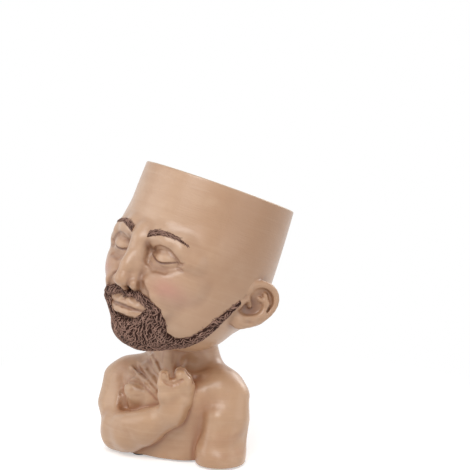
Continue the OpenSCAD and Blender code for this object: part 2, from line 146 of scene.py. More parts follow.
def nets(fld):
    """Surface nets: (vertices, quads) of the zero level."""
    d, axes = fld.d, np.eye(3, dtype=int)
    ins, n = d < 0, np.array(d.shape) - 1
    count = sum(ins[i:i + n[0], j:j + n[1], k:k + n[2]].astype(np.int8) for i, j, k in np.ndindex(2, 2, 2))
    cells = np.argwhere((count > 0) & (count < 8))
    idx = np.full(n, -1, np.int32)
    idx[tuple(cells.T)] = np.arange(len(cells))
    total, crossed = np.zeros((len(cells), 3)), np.zeros(len(cells))
    for a in ((0, 0, 0), (0, 1, 0), (0, 0, 1), (0, 1, 1)):
        for i, e in enumerate(axes):
            o = np.roll(a, i)
            d0, d1 = d[tuple((cells + o).T)], d[tuple((cells + o + e).T)]
            m = (d0 < 0) != (d1 < 0)
            t = d0[m] / (d0[m] - d1[m])
            total[m] += o + e * t[:, None]
            crossed[m] += 1
    V = fld.lo + fld.step * (cells + total / crossed[:, None])
    quads = []
    for i in range(3):
        b, c = axes[(i + 1) % 3], axes[(i + 2) % 3]
        A, B = (ins[tuple(s if j == i else slice(1, -1) for j in range(3))]
                for s in (slice(0, -1), slice(1, None)))
        for out in (True, False):
            p = np.argwhere(A & ~B if out else ~A & B) + b + c
            q = [idx[tuple(v.T)] for v in (p - b - c, p - c, p, p - b)]
            quads.append(np.stack(q if out else q[::-1], 1))
    return V, np.concatenate(quads)

def one_part(V, Q):
    """The biggest part of a mesh, without the crumbs that a cut leaves inside it."""
    ends = np.sort(np.stack([Q, np.roll(Q, -1, 1)], 2).reshape(-1, 2), 1).astype(np.int64)
    _, edge, n = np.unique(ends[:, 0] * len(V) + ends[:, 1], return_inverse=True, return_counts=True)
    order, at = np.argsort(edge, kind="stable"), (np.cumsum(n) - n)[n == 2]
    a, b = order[at] // 4, order[at + 1] // 4  # the two quads of each plain edge
    part = np.arange(len(Q))
    while True:
        low, new = np.minimum(part[a], part[b]), part.copy()
        for side in (a, b): np.minimum.at(new, part[side], low)
        new = new[new]
        if (new == part).all(): break
        part = new
    used, Q = np.unique(Q[part == np.bincount(part).argmax()], return_inverse=True)
    return V[used], Q.reshape(-1, 4)

# ---------- the bust and the forearm ----------
BX, BY, BZ = 82.0, 42.0, 93.0  # half width, half depth and height of the bust, which its shares are of
HX, HY, HZ = 76.0, 87.0, 90.0  # half width, half depth and drop of the head, below its eye line
RIM = 87.0  # height of the rim over the eye line
SKULL_DROP = 0.8 * HZ  # how far the skull reaches below the eye line

def spin(axis, degrees):
    a, i, j = math.radians(degrees), (axis + 1) % 3, (axis + 2) % 3
    M = np.eye(3)
    M[i, i] = M[j, j] = math.cos(a)
    M[i, j], M[j, i] = -math.sin(a), math.sin(a)
    return M

def B(x, y, z):
    """A spot of the bust by its shares, in percent."""
    return (x / 100 * BX, y / 100 * BY, z / 100 * BZ)

# The head's frame: turned to the figure's right, leaning to its side and back
O = np.array([0.21 * BX, 0.06 * BY, 2.055 * BZ])
R = spin(2, -16) @ spin(1, 6.2) @ spin(0, -21.4)

def ramp(v, a, b):
    t = np.clip((v - a) / (b - a), 0, 1)
    return t * t * (3 - 2 * t)

BUST_THINNED, ARM_THINNED = F(1.5), F(0.6)  # taken off all round once the swells are joined

def bust(f):
    f.frame = None
    def run(k, *spots, **more): f.run(spots, k, at=B, **more)
    # trunk
    f.ball(B(2, 2, 50), (49.5, 39.5, 45), 1)
    def waist(P):
        return np.maximum(ellipsoid((P[0], P[1], P[2] * 0 + 30), (1.5, 0, 30), (49, 38.6, 400)), P[2] - 48)
    f.put(waist, (-70, -60, -8), (72, 60, 60), 10)
    f.ball(B(4, 30, 78), (41, 20, 27), 14)
    f.ball(B(-2, -10, 84), (36, 22, 14), 12)
    for s in (-1, 1):
        # breast muscle: from the breast bone out to the armpit
        run(7, (15, -56, 69, 14), (36, -50, 70, 15), (56, -16, 80, 12), side=s, inner=6)
        run(7, (16, -58, 60, 12), (38, -52, 58, 13), side=s)
        run(12, (18, -52, 42, 13), (33, -42, 40, 13.5), (28, -42, 10, 15), side=s)
        # shoulder blade and broad back muscle
        run(12, (22, 52, 84, 12), (30, 56, 52, 13), side=s)
        run(12, (46, 34, 74, 14), (34, 44, 38, 13.5), side=s)
        # slope of the neck
        run(13, (10, 30, 112, 21), (3 + s * 30, 24, 94, 18), (s * 60, 14, 79, 18), inner=6)
    # neck
    run(16, (6, 20, 86, 30), (9, 24, 110, 28), (12, 28, 145, 28), inner=8)
    def collarbone(s, x=7):
        run(5, (x + s * 7, -47, 96.5, 4.6), (x + s * 22, -44, 94.5, 3.9),
            (x + s * 40, -28, 94.5, 4), (x + s * 56, -6, 93, 4.6), inner=4)
    # cords of the neck, in two strands each
    run(7, (-20, 10, 140, 10), (-16, -16, 116, 8), (-6, -44, 95, 5), inner=4)
    run(9, (-4, -10, 136, 10), (0, -30, 112, 7))
    collarbone(-1)
    run(6, (29, 6, 142, 5.5), (22, -22, 118, 5.2), (11, -42, 99, 4))
    run(7, (27, -2, 120, 4.5), (27, -30, 99, 4))
    collarbone(1)
    f.ball(B(36, -40, 106), (11, 5, 5), 12, cut=True)  # hollow over the left one
    run(10, (9, -36, 132, 8), (8, -42, 106, 8))  # windpipe
    run(7, (2, -102, 86, 2.2), (2, -100, 45, 2), cut=True)  # line of the breast bone
    # line of the spine
    run(12, (3, 108, 98, 0.6), (3, 106, 78, 2.2), (2, 103, 40, 2.2), (2, 103, 12, 0.6), cut=True)
    run(7, (-50, -52, 40, 3), (-2, -95, 37, 2.2), cut=True)
    # left arm, its biceps and its triceps
    run(lambda P: 3.5 + 15 * ramp(P[2], 12, 66), (66, 8, 67, 24.2), (72.5, -12, 47, 23.8),
        (74.5, -28, 25, 22.6), (74.5, -44, 10, 24.6), (74, -46, -10, 24), inner=9)
    run(8, (84, 2, 71, 14), (89, -18, 50, 9.5))
    run(7, (72, -52, 50, 12), (70, -66, 34, 9))
    run(7, (78, 34, 50, 12), (80, 18, 30, 9))
    # right upper arm
    run(lambda P: 3 + 11 * ramp(P[2] + 1.2 * P[1], 50, 84), (-70, 2, 73, 23.4),
        (-73.5, -26, 47, 20.8), (-65, -56, 23, 18.6), inner=8)
    run(8, (-86, -2, 74, 13.4), (-88, -30, 50, 10))
    run(6, (-62, -42, 62, 11), (-62, -68, 44, 10))
    # fold under the right armpit
    run(8, (-50, -60, 80, 0.5), (-53.5, -72, 66, 0.8), (-53.5, -74, 50, 0.6), cut=True, inner=3)
    # breast pressed out over the bent arm, the strands that pull from the neck over it, and its crease
    f.tilted((-28, -28, 64.5), (17, 14, 13), [(0.70, 0.30, -0.65), (-0.39, 0.92, 0), (0.60, 0.25, 0.76)], 4)
    for spots in (
            ((-40, 6, 108, 2.2), (-25, -28, 106, 3.5), (-14, -46, 101, 3.6), (-5, -60, 94, 3)),
            ((-48, -16, 97, 1.8), (-29, -45, 92, 3.4), (-14, -64, 86, 3.5), (-3, -74, 80, 2.8)),
            ((-54, -33, 92, 1.8), (-36, -56, 87.5, 3.1), (-19, -71, 83, 3.2), (-5, -80, 76, 2.6))):
        run(3.2, *spots, inner=3)
    run(2.4, (-58.5, -66, 66, 0.9), (-56, -70, 77, 1.3), (-45, -79, 84, 1.7),
        (-31, -83, 84.5, 1.8), (-18, -88, 79, 1.6), (-8, -93, 72, 1.2), cut=True, inner=3)
    # swells that cover the plate in front, at the back and at the sides
    f.ball((-30, -24, 4), (14.5, 12.5, 16), 7)
    f.run([(-38, 17, 4, 14), (-10, 23, 4, 15.5), (27, 20, 4, 15.5)], 9)
    f.ball((-41, 0, 4), (15.5, 24, 15), 8)
    f.ball((42, 4, 4), (13.5, 20, 15), 8)
    # crease at the bend of the left arm
    run(13, (80, -115, 25, 0.8), (105, -74, 25, 1.8), (109, -20, 27, 2), cut=True, inner=3)
    f.d += BUST_THINNED

# Folds along which brown paint and painted shade are laid: (reach in mm, strength, spots by their shares)
FOLDS = [
    (1.7, 0.85, [(-58.7, -58.2, 65.4), (-57.4, -56, 72.7), (-50, -68, 79.3), (-39.4, -74.5, 82.8),
                 (-31, -75, 82.6), (-20.3, -78.5, 78.2), (-10.4, -84, 72.8), (-2.2, -84, 66.4)]),
    (2.2, 0.80, [(-58.7, -58.2, 65.4), (-53.8, -61.2, 57.2), (-44.9, -73.5, 51.3)]),
    (1.5, 0.60, [(-34.7, -19.8, 101.6), (-17.3, -53, 96.8), (-6, -64.2, 88.7)]),
    (1.5, 0.60, [(-49, -27.9, 93.4), (-27, -63.1, 88), (-10.2, -79.3, 80.8), (-1.7, -80, 74.9)]),
    (1.6, 0.75, [(-33.5, -3.7, 110.3), (-13, -48.5, 104.5), (-4.7, -58.8, 98.3)]),
    (4.5, 0.45, [(-64.6, -21.2, 97.1), (-59, -42, 87.1), (-58.5, -55, 75)]),
    (2.4, 0.60, [(45.8, -67, 26.3), (54.9, -90, 6.9)]),
    (4, 0.40, [(51.6, -73.1, 56.8), (47.8, -69.1, 41.9), (45.8, -67, 26.3)]),
    (9, 0.42, [(-66, -30, 90), (-64.7, -41.4, 85.5), (-60, -58, 72), (-54.1, -60.1, 60.4)]),
    (7, 0.34, [(-38.5, -35.9, 94.9), (-20, -56, 92), (-8, -70, 85)]),
    (2.4, 0.55, [(-1.3, -50, 125), (-1.3, -51.2, 118.8), (-2.3, -52.3, 112.2), (-3.7, -52.4, 105.5)]),
    (2.2, 0.50, [(12.4, -55, 126), (12.4, -55.8, 120.2), (12.4, -55.8, 113.6), (13, -57.9, 107.3)]),
    (2.6, 0.40, [(25, -35, 124), (25, -36.1, 117.5), (24.9, -25.4, 107.9)]),
    (1.5, 0.50, [(-47, -80, 70), (-36.2, -94.5, 74.5), (-27.1, -85, 78), (-12.6, -85, 74)]),
    (1.2, 0.40, [(-40, -92, 68), (-29.6, -94.5, 70), (-16, -90, 69)]),
]

def folds(V):
    """How close the points lie to the folds of brown paint and painted shade: 1 in them, 0 away from them."""
    out = np.zeros(len(V))
    for reach, strength, spots in FOLDS:
        P = np.array([B(*p) for p in spots])
        near = np.where(((V > P.min(0) - 3 * reach) & (V < P.max(0) + 3 * reach)).all(1))[0]
        d = np.full(len(near), np.inf)
        for a, b in zip(P[:-1], P[1:]):
            t = np.clip((V[near] - a) @ (b - a) / ((b - a) @ (b - a)), 0, 1)
            d = np.minimum(d, np.linalg.norm(V[near] - a - t[:, None] * (b - a), axis=1))
        out[near] = np.maximum(out[near], strength * np.exp(-(d / reach) ** 2))
    return out

WRIST = np.array(B(25.4, -103, 57))
SIDEWAYS, OUTWARD = np.array([0.883, 0.469, 0]), np.array([0.469, -0.883, 0])  # the hand's level axes
FINGER, FINGERS_UP = -6.6, (0, 1, -0.5, -3.5)  # step from finger to finger, and each one's rise

def arm_blend(P, k=1.6):
    """Blend of the forearm's joints and of its join with the bust: soft at the elbow only."""
    return k + 9 * ramp(-P[0], 34, 50)

def forearm(f):
    f.frame = None
    def run(k, *spots, **more): f.run(spots, k, at=B, **more)
    run(arm_blend, (-61, -62, 20.5, 18.8), (-40, -83, 27, 19), (-12, -98, 37.5, 16.6),
        (25.4, -103, 57, 13.6), inner=9)
    run(7, (-66, -86, 32, 9.5), (-34, -112, 40, 10.5), (-6, -120, 48, 6))  # upper muscle
    run(7, (-50, -80, 12, 9), (-14, -106, 26, 8))
    f.ball(B(-66, -78, 13.5), (8, 8, 7), 6)  # point of the elbow
    f.ball(WRIST + (8, -6, 3), (6, 5, 6), 5)  # wrist bone
    # hand: a loose fist, seen from its thumb side
    def spot(a, b, c): return WRIST + a * SIDEWAYS + b * OUTWARD + (0, 0, c)
    def run(k, *spots, **more): f.run(spots, k, at=spot, **more)
    run(6, (0, 0, 0, 13), (4, -2, 12, 13.2), (8, -5, 24, 12), inner=7)
    run(6, (6, -10, 14, 11), (9, -14, 26, 9.5))
    run(6, (13, -3, 12, 7), (15, -4, 26, 7.5))
    for n, up in enumerate(FINGERS_UP):
        o = FINGER * n
        run(3, (13, 1 + o, 25 + up, 7.2), (12.6, 2 + o, 33 + up, 6.9))
        run(1.5, (12.6, 2 + o, 33 + up, 6.9), (8.2, 3.5 + o, 39.8 + up, 6.3), (6.2, 3 + o, 33 + up, 5.6),
            inner=2.2)
    # thumb, from its root to its tip, and its ball
    run(5, (-3.5, 4, 4, 8.8), (-6.5, 6.5, 20, 7.6))
    run(2.2, (-6.5, 6.5, 20, 7.4), (-8.2, 7, 31, 6.9), (-8, 6.2, 41, 6), inner=3)
    run(6, (-6.5, 7.5, 20, 6.5), (2, 5, 25, 7.4), (8, 2, 30, 7.2))
    f.ball(spot(0.6, 4, 32), (7.5, 6.5, 6), 3)
    run(1.8, (-9, 13.2, 37, 0.4), (-4, 12.6, 34.4, 0.8), (0.6, 11.4, 33, 1), (5, 10.4, 33.8, 0.8),
        (10, 9.2, 36.6, 0.4), cut=True, inner=2)
    f.tilted(spot(-8, 11.8, 41.5), (3, 1.2, 4), [SIDEWAYS, OUTWARD, (0, 0, 1)], 0.9)  # its nail
    for n in range(3):  # lines between the knuckles
        o = FINGER * n + FINGER / 2
        run(1.6, (19.5, 1 + o, 30, 0.6), (11, 4.5 + o, 46, 0.6), (4, 4.5 + o, 43, 0.6), cut=True, inner=1)
    f.d += ARM_THINNED

# ---------- the head, in its own frame ----------
def head_base(P):
    """The large forms of the head, as one distance."""
    P = x, y, z = np.abs(P[0]), P[1], P[2]
    up, down = (ellipsoid((x, y - 1.7, z), (0, 0, 0), (HX, HY * 0.98, h)) for h in (4 * RIM, SKULL_DROP))
    d = np.where(z > 0, up, down)
    for at, size, k in (((0, -10, -17), (68, 60, 66), 14), ((32, -9, -44), (31, 39, 32), 14),
                        ((0, -38, -62), (33, 29, 28), 12), ((0, -41, -45), (39, 29, 29), 12)):
        d = smin(d, ellipsoid(P, at, size), k)
    return d

def surf(f, x, z):
    """Where the skin lies now, seen from the front at (x, z)."""
    y = np.arange(-115, -5, 0.5)  # from before the nose to near the middle
    d = f.sample(np.stack([np.full_like(y, x), y, np.full_like(y, z)], 1) @ R.T + O)
    i = int(np.argmax(d < 0))
    if i == 0: return float(y[-1])
    return float(y[i - 1] + 0.5 * (d[i - 1] / (d[i - 1] - d[i])))

SLOPE_STEP = 3  # over which the skin's slope is taken, in mm
EX, EZ, EYE_R = 28.8, 1, 14.2  # middle of an eye, and its ball's radius to the front
LASH_X, LASH_W = EX - 14.6, 29.4  # inner corner of the eye, and its width
def lash(t):
    """Height of the line of the lashes, from the inner corner (0) to the outer one (1)."""
    return EZ + 0.4 + 0.9 * t - 5.6 * np.clip(np.sin(np.pi * t), 0, 1) ** 0.85
def swelling(t, least, more):
    """Radius of a line that is thickest in its middle."""
    return least + more * max(0, math.sin(math.pi * t))

def face(f):
    f.frame = (O, R)
    f.put(head_base, (-77, -90, -96), (77, 88, 96), 1)
    # line and pad place shapes on the skin as it is when they are placed, on both sides alike
    def line(spots, k, **more):
        """A run through spots (x, z, radius, how far its middle lies in front of the skin)."""
        rows = [(x, surf(f, x, z) - out, z, r) for x, z, r, out in spots]
        for side in (1, -1): f.run(rows, k, side=side, **more)
    def pad(x, z, r, proud, k, cut=False, sides=(1, -1)):
        """An ellipsoid laid along the skin, proud of it (or that deep, when cut)."""
        y, yx, yz = surf(f, x, z), surf(f, x + SLOPE_STEP, z), surf(f, x, z + SLOPE_STEP)
        tx, tz = np.array([SLOPE_STEP, yx - y, 0]), np.array([0, yz - y, SLOPE_STEP])
        n = np.cross(tx, tz)
        n *= -np.sign(n[1]) / np.linalg.norm(n)
        tx = tx / np.linalg.norm(tx)
        tz = np.cross(n, tx)
        tz /= np.linalg.norm(tz)
        c = np.array([x, y, z]) + n * (r[1] - proud if cut else proud - r[1])
        for side in sides: f.tilted(c, r, (tx, n, tz), k, cut, side)
    eye_y = surf(f, EX, EZ) + 0.4 + EYE_R
    # cheekbones and cheeks, then the temples filled to a flat side
    pad(47, -17, (21, 9, 13), 3.4, 14)
    pad(31, -36, (15, 9, 17), 2.6, 14)
    for s in (-1, 1): f.ball((s * 40, -29, 18), (29, 31, 30), 16)
    # brow ridge
    line([(6, 15, 6, -4.6), (20, 20, 7, -4.4), (38, 18, 7, -4.6), (53, 7, 6, -4.6)], 12, inner=7)
    # socket, and the hollow beside the root of the nose
    pad(29, 2.5, (19.5, 12, 11.5), 5.6, 9, cut=True)
    pad(13.4, 3.5, (5.5, 8, 8.5), 4, 7, cut=True)
    # nose: its back, its tip, its sides and its wings
    skin = {z: surf(f, 0, z) for z in (22, 12, 2, -8, -16, -24, -31, -36)}
    f.run([(0, skin[z] - proud + r, z, r) for z, proud, r in (
        (22, 0.6, 6), (12, 2.6, 5.6), (2, 5, 5), (-8, 9.4, 5.2), (-16, 13.4, 5.8), (-24, 17, 6.6))], 8, inner=6)
    tip = np.array([0, skin[-31] - 20.6 + 7.8, -31])
    def by_tip(x, y, z): return tip + (x, y, z)
    f.ball(tip, (8.2, 7.8, 7), 5)
    for s in (-1, 1):
        f.run([(4.4, skin[2] + 1, 4, 4.2), (6, skin[-16] - 1, -14, 4.9), (8.2, skin[-24] - 3, -25, 5.5)],
              6, side=s, inner=5)
        f.tilted(by_tip(10.6, 8.6, -0.6), (5.4, 8.4, 5.9), [(0.93, 0.36, 0), (-0.36, 0.93, 0), (0, 0, 1)],
                 3.2, side=s)
    # under the nose, the creases round its wings, and the nostrils
    f.run([(*by_tip(0, 4.8, -5.2), 3), (0, skin[-36] - 2.6, -39.5, 2.6)], 3)
    for s in (-1, 1):
        f.run([(15.2, 13.4, 5.2, 0.9), (17.6, 15.6, -1, 1.2), (14.6, 16.6, -7.4, 1)], 3, at=by_tip, side=s,
              cut=True, inner=2)
        f.tilted(by_tip(6.2, 6.2, -7.2), (2.7, 4.6, 2.4), [(0.9, 0.44, 0), (-0.44, 0.9, 0), (0, 0, 1)],
                 1.8, True, s)
    # fold from the nose to beside the mouth, with the cheek over it
    line([(22, -27, 4.5, -3.2), (29, -36, 5, -3.6), (35, -48, 4.5, -3.6)], 8, inner=4)
    line([(18.6, -30, 1.4, 0.6), (24.5, -37, 1.6, 0.5), (30.5, -48, 1.4, 0.5)], 5.5, cut=True, inner=2)
    # mouth: two lips over a mound, then the line between them and its corners
    pad(0, -55, (27, 12, 13), 1.8, 9, sides=(1,))
    upper, lower = ([(x, surf(f, *at) + deep, z, r) for x, z, r, at, deep in spots] for spots in (
        ((0, -51.6, 4, (0, -52), 2), (5.4, -50.9, 4.4, (5, -52), 1.4),
         (13, -52.2, 3.4, (12, -52), 2.6), (22, -53.6, 2, (24, -52), 3.6)),
        ((0, -59.2, 5.6, (0, -60), 1.8), (8, -58.9, 5.2, (12, -59), 1.4),
         (15, -57.6, 3.9, (18, -59), 2.6), (21.5, -55.6, 2.2, (24, -55), 3.4))))
    for s in (-1, 1):
        for lip in (upper, lower): f.run(lip, 2.6, side=s, inner=4)
    line([(0, -55.4, 0.8, 0), (4.5, -54.7, 0.8, 0), (10, -55.3, 0.8, 0), (17, -54.9, 0.7, 0),
          (25.5, -53.4, 0.6, 0.1)], 2.4, cut=True, inner=1)
    pad(28.2, -53.2, (3, 3, 3.4), 0.8, 5, cut=True)
    # groove over the lips, crease over the chin, and chin
    line([(2.9, -41, 1.6, -1), (4.2, -47, 1.8, -1.1)], 3)
    line([(0, -66.5, 2.6, 1.2), (9, -66, 2.4, 1.2)], 6, cut=True)
    pad(0, -79, (17, 10, 11), 2.4, 9, sides=(1,))
    # eye: ball, then the two lids that meet in the line of the lashes
    for s in (-1, 1): f.ball((s * EX, eye_y, EZ), (16, EYE_R, 12.4), 4)
    def lid(P, s, low):
        x = P[0] * s - EX
        size = (16.6, EYE_R + (0.9 if low else 2.1), 12.6 if low else 14)
        ball = ellipsoid((x, P[1], P[2]), (0, eye_y, EZ), size)
        d = P[2] - lash(np.clip((x + EX - LASH_X) / LASH_W, 0, 1))
        return smax(ball, (d + 0.2) if low else (-d + 0.1), 0.9)
    for s in (-1, 1):
        for low in (True, False):
            f.put(lambda P: lid(P, s, low), (s * EX - 17, eye_y - EYE_R - 3, EZ - 14),
                  (s * EX + 17, eye_y, EZ + 15), 0.9)
    line([(LASH_X + LASH_W * t, lash(t), swelling(t, 0.35, 0.35), 0) for t in np.linspace(-0.02, 1.03, 15)],
         0.9, cut=True, inner=1)
    # flesh under the brow hangs over the lid: a swell above the fold, then its line
    line([(EX - 12, EZ + 12.5, 5, -4.2), (EX, EZ + 15.5, 5.5, -4.4), (EX + 13, EZ + 11.5, 5.5, -4.2),
          (EX + 20, EZ + 3, 4.5, -3.8)], 6, inner=5)
    line([(EX - 15.6 + 33 * t, EZ + 1.8 - 2.2 * t + 9.4 * max(0, math.sin(math.pi * t * 0.98)) ** 0.8,
           swelling(t, 0.5, 0.35), 0.15) for t in np.linspace(0, 1.08, 15)], 2, cut=True, inner=1)
    # under the eye, and beside it
    line([(EX - 13, EZ - 8.5, 0.9, 0.6), (EX - 4, EZ - 12.6, 1.1, 0.7), (EX + 8, EZ - 11.5, 0.9, 0.7)], 4,
         cut=True, inner=2)
    line([(EX + 17, EZ - 0.5, 0.5, 0.35), (EX + 23, EZ + 1.4, 0.3, 0.3)], 2, cut=True)
    line([(EX + 16.5, EZ - 4, 0.45, 0.35), (EX + 22, EZ - 5.6, 0.3, 0.3)], 2, cut=True)

# Width and height of an ear, its root and its axes (along, inward, up)
EAR_W, EAR_H = 42, 50
EAR_ROOT, EAR_AXES = np.array([0.91 * HX, 0.04 * HY, -0.1 * HZ]), spin(2, 65) @ spin(1, 16)

def ear(f, s, hollows=True):
    f.frame = (O, R)
    # spot: its place along, up and outward
    def spot(u, w, o): return EAR_ROOT + EAR_AXES @ np.array([u * EAR_W, -o, w * EAR_H])
    def run(k, *spots, **more): f.run(spots, k, at=spot, side=s, **more)
    def shell(k, at, size, cut=False): f.tilted(spot(*at), size, EAR_AXES.T, k, cut, s)
    def roll(d):
        a = math.radians(d)
        n = 1 - 0.3 * (1 - math.cos(a)) / 2
        return 0.5 * n + 0.48 * math.sin(a) * n, 0.47 * math.cos(a)
    # back of the ear: a shallow shell, with the bowl of the ear in it
    shell(5, (0.46, 0.02, -1.5), (20, 3.8, 22.5))
    shell(6, (0.18, -0.02, -3.5), (12, 6, 17))
    if hollows:
        shell(3, (0.36, -0.08, 5.2), (13, 6.4, 13.5), True)
        shell(2.5, (0.52, 0.26, 4.6), (12.4, 4.4, 9.5), True)
    # rolled edge, and its root into the bowl
    run(2.2, *((*roll(d), 0.8 + 1.6 * math.sin(math.radians(max(0, min(180, d + 30)))),
                3.9 - 0.9 * max(0, d) / 196) for d in np.linspace(-66, 196, 20)))
    run(2.4, (0.08, 0.2, 1.5, 3.4), (0.16, 0.02, 1.6, 3.2), (0.34, -0.06, 0.6, 2.6), inner=3)
    # inner ridge, forked at the top
    run(2.6, (0.50, 0.30, 1.4, 2.4), (0.66, 0.16, 2.2, 2.9), (0.72, -0.04, 2.6, 3), (0.60, -0.22, 2.6, 3),
        (0.40, -0.30, 2.6, 3), inner=3)
    run(2.4, (0.64, 0.18, 2, 2.4), (0.44, 0.16, 1, 2))
    # lobe and the flap in front
    shell(3.4, (0.30, -0.43, 1), (9.6, 4.2, 7.6))
    shell(3, (0.10, -0.12, 3.2), (5.2, 3.8, 6.2))
    if not hollows: return
    shell(2.4, (0.30, -0.15, 4.2), (6.8, 4, 6), True)
    # groove inside the rolled edge
    edge = map(roll, np.linspace(-20, 96, 8))
    run(1.6, *((0.48 + (u - 0.48) * 0.76, w * 0.78, 2.9, 1.4) for u, w in edge), cut=True)

def angles(L):
    """turn and drop, in degrees, of points in the head's frame."""
    turn = np.degrees(np.arctan2(L[:, 0], -L[:, 1]))
    drop = np.degrees(np.arctan2(-L[:, 2], np.hypot(L[:, 0], L[:, 1])))
    return turn, drop

# ---------- the bowl, the drain's seats and the underside ----------
# Walls of the bowl: at the rim, how much thicker at the floor, and below the floor
RIM_WALL, WALL_MORE, FLOOR_WALL = 6.0, 10.0, 19.0
BOWL_DEPTH = RIM + SKULL_DROP - FLOOR_WALL
TURNS = np.linspace(-math.pi, math.pi, 49)
LEVELS = RIM - BOWL_DEPTH * np.sin(np.linspace(0, math.pi / 2, 22))

def level_share(z):
    """How far a level lies down the bowl: 0 at the rim, 1 at the floor."""
    return np.degrees(np.arcsin(np.clip((RIM - z) / BOWL_DEPTH, 0, 1))) / 90

def inner_size(turn, z):
    """Half size of the bowl at a level, along a turn."""
    share, a, b = level_share(z), 0.0, 110.0
    for _ in range(30):
        m = (a + b) / 2
        if head_base(np.array([m * math.sin(turn), -m * math.cos(turn), z])) < 0: a = m
        else: b = m
    return (a - RIM_WALL - WALL_MORE * share) * (1 - share ** 4) ** 0.25

SIZES = np.array([[inner_size(t, z) for t in TURNS] for z in LEVELS])

def bowl(P):
    """Inside of the bowl, as a rough distance."""
    x, y, z = np.broadcast_arrays(*P)
    t = (np.arctan2(x, -y) + math.pi) / (2 * math.pi) * (len(TURNS) - 1)
    q = level_share(z) * (len(LEVELS) - 1)
    i, j = np.clip(t.astype(int), 0, len(TURNS) - 2), np.clip(q.astype(int), 0, len(LEVELS) - 2)
    u, v = t - i, q - j
    S = SIZES
    size = (S[j, i] * (1 - u) + S[j, i + 1] * u) * (1 - v) + (S[j + 1, i] * (1 - u) + S[j + 1, i + 1] * u) * v
    side = np.hypot(x, y) - size
    # under the bend the distance is taken along the height instead
    side = np.where(size > 12, side * np.clip(size / 50, 0.45, 0.92), side * 0.3)
    return np.maximum(side, (RIM - BOWL_DEPTH) - z)

DRAIN_X, DRAIN_Y, DRAIN_TOP = 0.1 * BX, 0.3 * BY, 131.01
TUBE_SEAT_R, FLANGE_SEAT_R, FLANGE_SEAT_T = 9.3, 13.3, 2.6
PADS_TOP, PLATE_TOP, PLATE_R, PLATE_X = 2.0, 5.1, BY * 0.64 + 0.35, BX * 0.24  # a stadium in outline
RIM_ROUND, FOOT_ROUND, DRAIN_ROUND, PLATE_ROUND = 1.6, 1.2, 0.6, 0.5  # how far their edges are rounded

def openings(f):
    f.frame = (O, R)
    sl, P = f.block((-90, -100, RIM - 22), (90, 100, RIM + 60))
    f.d[sl] = smax(f.d[sl], P[2] - F(RIM), RIM_ROUND)
    f.put(bowl, (-72, -84, -56), (72, 90, RIM), RIM_ROUND, cut=True)
    f.frame = None
    for r, out, foot, lo in ((TUBE_SEAT_R, 10, 0, 0),
                             (FLANGE_SEAT_R, 14, DRAIN_TOP - FLANGE_SEAT_T, DRAIN_TOP)):
        f.put(lambda P: np.maximum(np.sqrt((P[0] - DRAIN_X) ** 2 + (P[1] - DRAIN_Y) ** 2) - r, foot - P[2]),
              (DRAIN_X - out, DRAIN_Y - out, lo), (DRAIN_X + out, DRAIN_Y + out, DRAIN_TOP + 30),
              DRAIN_ROUND, cut=True)
    sl, P = f.block((-120, -90, -8), (120, 90, 12))
    f.d[sl] = smax(f.d[sl], F(PADS_TOP) - P[2], FOOT_ROUND)
    def seat(P):
        x = np.maximum(np.abs(P[0]) - PLATE_X, 0)
        return np.maximum(np.sqrt(x * x + P[1] ** 2) - PLATE_R, P[2] - PLATE_TOP)
    f.put(seat, (-50, -30, -2), (50, 30, PLATE_TOP), PLATE_ROUND, cut=True)

# ---------- one form, cut into its pieces ----------
WHOLE_LO, WHOLE_HI = np.array([-90.0, -106.0, -3.0]), (118, 118, 308)

def aligned(lo, hi):
    """A field on a part of the whole figure's grid, and its slices there."""
    i = np.floor((np.array(lo) - WHOLE_LO) / STEP).astype(int)
    g = Field(WHOLE_LO + STEP * i, hi, STEP)
    return g, tuple(slice(i[a], i[a] + g.n[a]) for a in range(3))

def like(at, d):
    """A field that holds d on the slices at of the whole figure's grid."""
    g = Field.__new__(Field)
    g.lo, g.step, g.n, g.d = WHOLE_LO + STEP * np.array([s.start for s in at]), STEP, np.array(d.shape), d
    return g

def in_head(at):
    """The same slices, counted from the corner of the head's field."""
    return tuple(slice(a.start - h.start, a.stop - h.start) for a, h in zip(at, head_at))

def to_head(V):
    return (V - O) @ R

NECK_BLEND = 4.0  # between the head and the neck
LIP, LIP_SINK, LIP_FADE = 2.0, 0.16, 0.5  # depth of a lip, how far it is sunk, and over what width, in mm
def lipped(d, side):
    """Ends a piece as a lip, sunk under the piece that covers it, where side is below 0."""
    return np.maximum(d + LIP_SINK * np.clip(-side / LIP_FADE, 0, 1), -side - LIP)

whole = Field(WHOLE_LO, WHOLE_HI, STEP)
whole_at = (slice(0, None),) * 3
bust(whole)
arm, arm_at = aligned((-82, -76, -2), (60, 20, 112))
forearm(arm)
trunk = whole.d[arm_at].copy()
whole.d[arm_at] = smin(trunk, arm.d, arm_blend(np.ix_(*arm.ax)))
arm_side = (arm.d - trunk) / 2  # below 0 where the forearm is the nearer form

head, head_at = aligned((-88, -104, 86), (116, 116, 306))
face(head)
bare = head.d.copy()
ears = {}
for side, name, lo, hi in ((1, "left", (56, -40, 122), (116, 44, 204)),
                           (-1, "right", (-84, -4, 138), (-20, 84, 220))):
    e, at = aligned(lo, hi)
    ear(e, side, hollows=False)
    ears[name] = (at, (e.d - bare[in_head(at)]) / 2)
    ear(head, side)
head_side = (head.d - whole.d[head_at]) / 2  # below 0 where the head is the nearer form
whole.d[head_at] = smin(whole.d[head_at], head.d, NECK_BLEND)
openings(whole)
solid = whole.d

bust_d = solid.copy()
bust_d[arm_at] = lipped(bust_d[arm_at], arm_side)
bust_d[head_at] = lipped(bust_d[head_at], head_side)
head_d = np.maximum(solid[head_at], head_side)
for at, side in ears.values(): head_d[in_head(at)] = lipped(head_d[in_head(at)], side)

